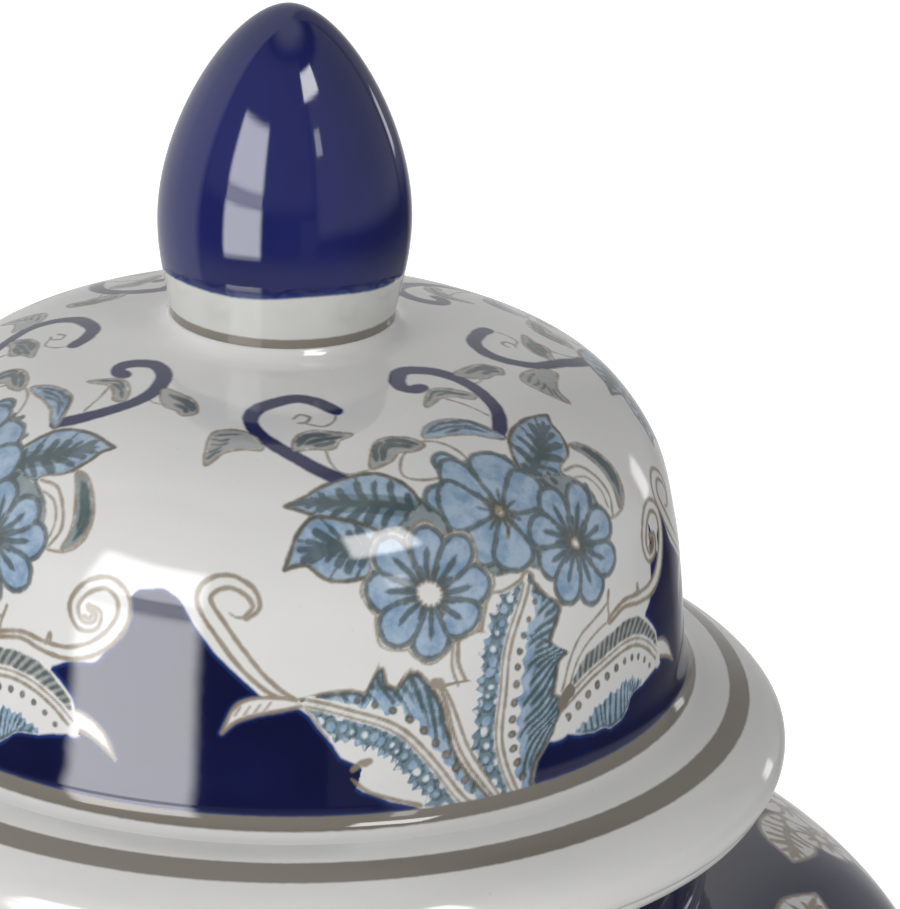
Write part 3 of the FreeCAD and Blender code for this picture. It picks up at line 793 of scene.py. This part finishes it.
# ---- meshes ----
def turned(name, outline, columns, layers=None, loop=True, crisp=None):
    """A turned mesh with one vertex row to each outline point, or one vertex where it meets the axis.

    The row numbered crisp gets sharp edges, so that a wall shades smoothly up to a joint."""
    angles = np.radians(np.arange(columns) * 360.0 / columns - 180.0)
    rows = len(outline)
    counts = np.where(outline[:, 0] < 1e-6, 1, columns)
    first = np.r_[0, np.cumsum(counts)[:-1]]
    places = []
    for (radius, height), count in zip(outline, counts):
        turn = angles[:count]
        places.append(np.c_[radius * np.sin(turn), -radius * np.cos(turn), np.full(count, height)])
    places = np.vstack(places) * MM
    j = np.arange(columns)
    k = (j + 1) % columns
    corners, sizes = [], []
    for a in range(rows if loop else rows - 1):
        b = (a + 1) % rows
        if counts[a] == 1:
            face = np.c_[first[a] + 0 * j, first[b] + k, first[b] + j]
        elif counts[b] == 1:
            face = np.c_[first[a] + j, first[a] + k, first[b] + 0 * j]
        else:
            face = np.c_[first[a] + j, first[a] + k, first[b] + k, first[b] + j]
        corners.append(face.ravel())
        sizes.append(np.full(columns, face.shape[1]))
    corners, sizes = np.concatenate(corners), np.concatenate(sizes)
    mesh = bpy.data.meshes.new(name)
    mesh.vertices.add(len(places))
    mesh.vertices.foreach_set("co", places.ravel())
    mesh.loops.add(len(corners))
    mesh.loops.foreach_set("vertex_index", corners.astype(np.int32))
    mesh.polygons.add(len(sizes))
    mesh.polygons.foreach_set("loop_start", np.r_[0, np.cumsum(sizes)[:-1]].astype(np.int32))
    mesh.update(calc_edges=True)
    mesh.shade_smooth()
    if crisp is not None:
        ends = np.empty(2 * len(mesh.edges), np.int32)
        mesh.edges.foreach_get("vertices", ends)
        row = np.searchsorted(first, ends.reshape(-1, 2), "right") - 1
        sharp = mesh.attributes.new("sharp_edge", "BOOLEAN", "EDGE")
        sharp.data.foreach_set("value", (row == crisp).all(axis=1))
    for layer, values in (layers or {}).items():
        kept = np.concatenate([row[:count] for row, count in zip(values, counts)])
        mesh.attributes.new(layer, "FLOAT", "POINT").data.foreach_set("value", kept.astype(np.float32))
    piece = bpy.data.objects.new(name, mesh)
    bpy.context.collection.objects.link(piece)
    return piece


def with_rows(canvas, rows, before, after):
    """The canvas's layers for those rows, with plain rows added before and after them."""
    return {name: np.pad(values[rows], ((before, after), (0, 0)), constant_values=FAR)
            for name, values in canvas.layers.items()}


def install(piece, node, body, material):
    piece.data.materials.append(material)
    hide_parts(node)
    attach(piece, body)


# ---- materials ----
PORCELAIN = (0.70, 0.695, 0.68)
SHADED_COLLAR_PORCELAIN = (0.60, 0.60, 0.575)       # the finial's white foot: the same porcelain made darker, as painted shade
DEEP_COBALT = ((0.0028, 0.0038, 0.036), (0.0050, 0.0072, 0.060))
FINIAL_COBALT = ((0.0070, 0.0100, 0.075), (0.0110, 0.0150, 0.110))
EDGE_COBALT = (0.010, 0.036, 0.165)
PALE_WASH = (0.285, 0.405, 0.545)
DEEP_WASH = (0.165, 0.275, 0.42)
GLAZE_IOR = 1.72                # higher than glass, for the strong shine of a thick glaze
PAINTS = {                      # colour, how strongly it covers, softness and wander of its edge in mm
    "cobalt": (DEEP_COBALT[1], 1.0, 0.26, 0.12),
    "wash": (DEEP_WASH, 0.95, 0.24, 0.30),
    "teal": ((0.13, 0.19, 0.21), 0.88, 0.24, 0.30),
    "grey": ((0.25, 0.27, 0.26), 0.85, 0.35, 0.50),
    "line": ((0.235, 0.185, 0.125), 0.92, 0.24, 0.18),
    "vein": ((0.055, 0.078, 0.080), 0.88, 0.26, 0.26),
    "navy": ((0.023, 0.027, 0.085), 1.0, 0.30, 0.16),
    "band": ((0.20, 0.18, 0.15), 1.0, 0.22, 0.10),
}


class Nodes:
    """Short calls for building one node tree."""

    def __init__(self, tree):
        self.tree = tree

    def add(self, kind, values=(), **settings):
        node = self.tree.nodes.new("ShaderNode" + kind)
        for key, value in settings.items():
            setattr(node, key, value)
        for key, value in dict(values).items():
            self.set(node.inputs[key], value)
        return node

    def set(self, socket, value):
        if isinstance(value, bpy.types.NodeSocket):
            self.tree.links.new(value, socket)
        else:
            socket.default_value = value

    def math(self, operation, a, b=0.0):
        return self.add("Math", {0: a, 1: b}, operation=operation).outputs[0]

    def step(self, value, low, high, start=0.0, end=1.0):
        """A smooth change from start to end as the value goes from low to high."""
        values = {"Value": value, "From Min": low, "From Max": high, "To Min": start, "To Max": end}
        return self.add("MapRange", values, interpolation_type="SMOOTHSTEP").outputs["Result"]

    def mix(self, amount, a, b):
        node = self.add("Mix", data_type="RGBA")
        self.set(node.inputs["Factor"], amount)
        self.set(node.inputs[6], a)
        self.set(node.inputs[7], b)
        return node.outputs[2]

    def noise(self, place, scale, detail=2.0, roughness=0.5):
        values = {"Vector": place, "Scale": scale, "Detail": detail, "Roughness": roughness}
        return self.add("TexNoise", values).outputs["Fac"]


def rgba(colour):
    return (*colour, 1.0)


def new_material(name):
    material = bpy.data.materials.new(name)
    material.use_nodes = True
    return material, Nodes(material.node_tree), material.node_tree.nodes["Principled BSDF"]


def glazed(name, layers, base=PORCELAIN, cobalt=DEEP_COBALT):
    """Glossy clear glaze over porcelain, with the painted layers under it."""
    material, nodes, shader = new_material(name)
    place = nodes.add("TexCoord").outputs["Object"]
    cloud = nodes.noise(place, 45.0, 3.0)
    speck = nodes.noise(place, 900.0, 2.0)
    colour = nodes.mix(nodes.step(cloud, 0.3, 0.7), rgba([0.97 * c for c in base]), rgba(base))
    colour = nodes.mix(nodes.step(speck, 0.72, 0.80, 0.0, 0.35), colour, rgba([0.66 * c for c in base]))
    hand = nodes.math("SUBTRACT", nodes.noise(place, 650.0, 2.5, 0.6), 0.5)
    pooling = nodes.noise(place, 330.0, 3.0, 0.6)
    for layer in layers:
        tint, cover, soft, wander = PAINTS[layer]
        distance = nodes.add("Attribute", attribute_name=layer).outputs["Fac"]
        uneven = nodes.math("ADD", distance, nodes.math("MULTIPLY", hand, 2 * wander))
        paint = rgba(tint)
        if layer == "wash":
            paint = nodes.mix(nodes.step(pooling, 0.35, 0.70), rgba(PALE_WASH), rgba(DEEP_WASH))
        if layer == "cobalt":
            deep = nodes.mix(nodes.step(cloud, 0.35, 0.70), rgba(cobalt[0]), rgba(cobalt[1]))
            paint = nodes.mix(nodes.step(distance, -0.9, -0.1), deep, rgba(EDGE_COBALT))
        density = nodes.step(pooling, 0.25, 0.75, 0.85 * cover, cover) if cover < 1 else 1.0
        mask = nodes.math("MULTIPLY", nodes.step(uneven, soft, -soft), density)
        colour = nodes.mix(mask, colour, paint)
    nodes.set(shader.inputs["Base Color"], colour)

    waves = nodes.noise(place, 55.0, 1.0)
    ripple = nodes.math("ADD", waves, nodes.math("MULTIPLY", nodes.noise(place, 210.0, 1.0), 0.2))
    bump = nodes.add("Bump", {"Height": ripple, "Distance": 0.05 * MM, "Strength": 1.0})
    nodes.set(shader.inputs["Normal"], bump.outputs["Normal"])
    nodes.set(shader.inputs["Roughness"], nodes.step(speck, 0.3, 0.8, 0.045, 0.075))
    shader.inputs["IOR"].default_value = GLAZE_IOR
    return material


def unglazed(name):
    """Bare fired porcelain: matt, slightly warm and gritty."""
    material, nodes, shader = new_material(name)
    place = nodes.add("TexCoord").outputs["Object"]
    grit = nodes.noise(place, 1400.0, 4.0, 0.6)
    cloud = nodes.noise(place, 70.0, 3.0)
    colour = nodes.mix(nodes.step(cloud, 0.3, 0.7), rgba((0.66, 0.63, 0.57)), rgba((0.74, 0.71, 0.65)))
    colour = nodes.mix(nodes.step(grit, 0.66, 0.78, 0.0, 0.5), colour, rgba((0.42, 0.36, 0.29)))
    nodes.set(shader.inputs["Base Color"], colour)
    bump = nodes.add("Bump", {"Height": grit, "Distance": 0.1 * MM, "Strength": 0.5})
    nodes.set(shader.inputs["Normal"], bump.outputs["Normal"])
    nodes.set(shader.inputs["Roughness"], nodes.step(grit, 0.3, 0.7, 0.55, 0.72))
    return material


# ---- the pieces ----
def build_dome():
    outside, inside = dome_outline()
    canvas = lid_canvas(outside, -2.1)
    outline = np.vstack([outside, inside])
    piece = turned("dome", outline, canvas.columns, with_rows(canvas, slice(None), 0, len(inside)))
    install(piece, "lid_dome", "lid", glazed("dome_glaze", LAYERS))


def build_finial():
    outside, inside = finial_outline()
    canvas = Canvas(outside, 360)
    up = canvas.along[:, None]
    wave = 0.35 * np.sin(np.radians(2 * canvas.degrees) + 1.0) + 0.2 * np.sin(np.radians(5 * canvas.degrees))
    canvas.layers["cobalt"] = np.clip(COLLAR_EDGE + wave[None, :] - up, -FAR, FAR).astype(np.float32)
    band(canvas, "band", -3.0, 3.0)
    outline = np.vstack([inside, outside])
    layers = with_rows(canvas, slice(None), len(inside), 0)
    piece = turned("finial", outline, canvas.columns, layers, loop=False)
    # the white collar takes a darker copy of the porcelain colour, which paints shade on it
    glaze = glazed("finial_glaze", ("cobalt", "band"), SHADED_COLLAR_PORCELAIN, FINIAL_COBALT)
    install(piece, "finial", "lid", glaze)


def build_flange():
    seat = LID_SEAT - DOME_FOOT
    top = smooth([
        (58, 0.1), (60.2, -0.1), (63, -0.95), (65.8, -1.9), (69, -3.5), (71.6, -5.1), (73.3, seat + 8.3),
        (74.3, seat + 6.6), (74.5, seat + 4.6), (74.1, seat + 3), (73.5, seat + 2.3), (73.3, seat + 1.6),
        (72.6, seat + 0.5), (71.4, seat), (68, seat)], steps=10)
    outside = evenly(top[::-1], 0.35)
    under = rounded([(54.2, 0.1), (54.2, seat), (68, seat)])
    canvas = Canvas(outside, 720)
    on_top = outside[:, 1] > -5.5
    start, end = np.interp([-69.0, -66.0], -outside[on_top, 0], canvas.along[on_top])
    band(canvas, "band", start, end)
    outline = np.vstack([outside, under[:-1]]) + (0, DOME_FOOT)
    piece = turned("flange", outline, canvas.columns, with_rows(canvas, slice(None), 0, len(under) - 1))
    install(piece, "lid_flange", "lid", glazed("flange_glaze", ("band",)))


def build_locating_ring():
    outline = rounded([(51, -9), (53.4, -9), (53.4, 6.5), (50, 6.5), (49.8, -9), (51, -9)])[:-1]
    piece = turned("locating_ring", outline + (0, LID_SEAT), 360)
    install(piece, "lid_locating_ring", "lid", unglazed("ring_biscuit"))


def build_jar():
    outside, split = jar_outline()
    canvas = jar_canvas(outside)
    below, above = outside[:split], outside[split - 1:]
    inner = evenly(below - (JAR_WALL, 0), 3.0)[::-1]
    lower = turned("lower_body", np.vstack([below, inner]), canvas.columns,
                   with_rows(canvas, slice(0, split), 0, len(inner)), crisp=split - 1)
    install(lower, "body_lower", "jar", glazed("lower_body_glaze", LAYERS))
    inner = shoulder_arc(JAR_WALL, 24)[::-1]
    upper = turned("upper_body", np.vstack([above, inner]), canvas.columns,
                   with_rows(canvas, slice(split - 1, None), 0, len(inner)), crisp=0)
    install(upper, "body_upper", "jar", glazed("upper_body_glaze", LAYERS))


def build_neck():
    bottom = SHOULDER - JAR_WALL
    inner = NECK_RADIUS - 7.5
    outline = rounded([(58, bottom), (NECK_RADIUS, bottom), (NECK_RADIUS, NECK_RIM), (inner, NECK_RIM),
                       (inner, bottom), (58, bottom)], radius=2.0)[:-1]
    fillet = smooth([(NECK_RADIUS + 1.6, SHOULDER - 0.05), (NECK_RADIUS + 0.5, SHOULDER + 0.4),
                     (NECK_RADIUS, SHOULDER + 1.6)])
    under = outline[outline[:, 1] < SHOULDER - 3]
    outline = np.vstack([under[:6], fillet, outline[outline[:, 1] > SHOULDER + 3], under[6:]])
    canvas = Canvas(outline, 720)
    outer = outline[:, 0] > NECK_RADIUS - 0.2
    edge = np.where(outer, outline[:, 1] - (NECK_RIM - NECK_WHITE), FAR)
    canvas.layers["cobalt"] = np.clip(edge[:, None] + 0 * canvas.degrees[None, :], -FAR, FAR)
    piece = turned("neck", outline, 720, {"cobalt": canvas.layers["cobalt"]})
    install(piece, "neck_collar", "jar", glazed("neck_glaze", ("cobalt",)))


def build_foot():
    outline = rounded([(0, 6.5), (54, 6.5), (54, 0), (FOOT_RADIUS, 0), (FOOT_RADIUS, 5), (63.2, 9),
                       (61.4, 13), (61, BASE_TOP), (55.5, BASE_TOP), (52, 12.5), (0, 12.5)], radius=1.4)
    piece = turned("foot", outline, 360, loop=False)
    install(piece, "foot_base", "jar", unglazed("foot_biscuit"))


# ---- studio ----
def build_floor():
    mesh = bpy.data.meshes.new("floor")
    half = 6.0
    corners = [(-half, -half, 0), (half, -half, 0), (half, half, 0), (-half, half, 0)]
    mesh.from_pydata(corners, [], [(0, 1, 2, 3)])
    floor = bpy.data.objects.new("floor", mesh)
    bpy.context.collection.objects.link(floor)
    floor.visible_glossy = False
    material, _, shader = new_material("floor_paper")
    paper = {"Base Color": (0.86, 0.86, 0.86, 1), "Roughness": 0.9, "Emission Color": (1, 1, 1, 1),
             "Emission Strength": 0.60}
    for key, value in paper.items():
        shader.inputs[key].default_value = value
    mesh.materials.append(material)


def build_world():
    """A studio all round: dark in front, white behind and to the left, with a tall window at the left."""
    world = bpy.data.worlds.new("studio")
    bpy.context.scene.world = world
    world.use_nodes = True
    tree = world.node_tree
    tree.nodes.clear()
    nodes = Nodes(tree)
    direction = nodes.add("SeparateXYZ", {0: nodes.add("TexCoord").outputs["Generated"]})
    x, y, z = direction.outputs
    turn = nodes.math("MULTIPLY", nodes.math("ARCTAN2", x, nodes.math("MULTIPLY", y, -1.0)), 180 / math.pi)
    rise = nodes.math("MULTIPLY", nodes.math("ARCSINE", z), 180 / math.pi)

    def panel(left, right, bottom, top, strength, soft=4.0):
        across = nodes.math("MULTIPLY", nodes.step(turn, left - soft, left + soft),
                            nodes.step(turn, right + soft, right - soft))
        up = nodes.math("MULTIPLY", nodes.step(rise, bottom - soft, bottom + soft),
                        nodes.step(rise, top + soft, top - soft))
        return nodes.math("MULTIPLY", nodes.math("MULTIPLY", across, up), strength)

    ceiling = nodes.step(rise, 62.0, 80.0, 0.06, 0.60)
    table = nodes.step(rise, -15.0, -30.0, 0.0, 0.26)
    light = nodes.math("ADD", ceiling, table)
    for wall in WALLS:
        light = nodes.math("MAXIMUM", light, panel(*wall))
    seen = nodes.add("LightPath").outputs["Is Camera Ray"]
    strength = nodes.math("ADD", nodes.math("MULTIPLY", light, nodes.math("SUBTRACT", 1.0, seen)), seen)
    background = nodes.add("Background", {"Color": (1, 1, 1, 1), "Strength": strength})
    tree.links.new(background.outputs[0], nodes.add("OutputWorld").inputs["Surface"])


WALLS = (                       # left, right, bottom and top in degrees, brightness, softness
    (-240, -84, -45, 90, 0.63, 6),        # white wall at the left
    (29, 130, -9, 54, 0.34, 5),           # grey wall at the right
    (130, 200, -9, 78, 0.32, 6),          # far corner
    (156, 240, -45, 90, 0.63, 18),
    (14, 30, -22, 0, 0.14, 1),            # a pale cupboard low in front
    (-84, 29, 2, 62, 0.20, 6),           # the room in front
    (-56, -21, 9, 33, 5.5, 2.5),            # the window's upper and lower panes
    (-56, -21, -20, 4, 5.5, 2.5),
    (-56, -21, 4, 9, 2.6, 1),
    (26, 52, 42, 54, 7.5, 1.5),             # a lamp, high at the right
    (33, 40, 22, 31, 3, 1),
    (133, 139, -4, 6, 2.2, 1.5),
)


CAMERA_TURN = (2.090, 21.132, 1.986)         # to the right, down, and rolled, in degrees
CAMERA_BACK = 0.66708                        # metres in front of the jar's axis
CAMERA_RISE = 0.28928                        # metres above the dome's foot
CAMERA_LENS = 198.09


def build_camera():
    """A long lens a little above the lid, aimed slightly down."""
    yaw, pitch, roll = np.radians(CAMERA_TURN)
    forward = Vector((math.sin(yaw) * math.cos(pitch), math.cos(yaw) * math.cos(pitch), -math.sin(pitch)))
    right = Vector((math.cos(yaw), -math.sin(yaw), 0))
    up = right.cross(forward)
    across = right * math.cos(roll) + up * math.sin(roll)
    upward = up * math.cos(roll) - right * math.sin(roll)
    data = bpy.data.cameras.new("camera")
    data.lens = CAMERA_LENS
    camera = bpy.data.objects.new("camera", data)
    bpy.context.collection.objects.link(camera)
    camera.matrix_world = Matrix.LocRotScale(
        Vector((0, -CAMERA_BACK, DOME_FOOT * MM + CAMERA_RISE)),
        Matrix((across, upward, -forward)).transposed().to_quaternion(), None)
    bpy.context.scene.camera = camera


build_camera()
build_world()
build_floor()
build_foot()
build_jar()
build_neck()
build_flange()
build_locating_ring()
build_dome()
build_finial()
bpy.context.scene.view_settings.view_transform = "Standard"
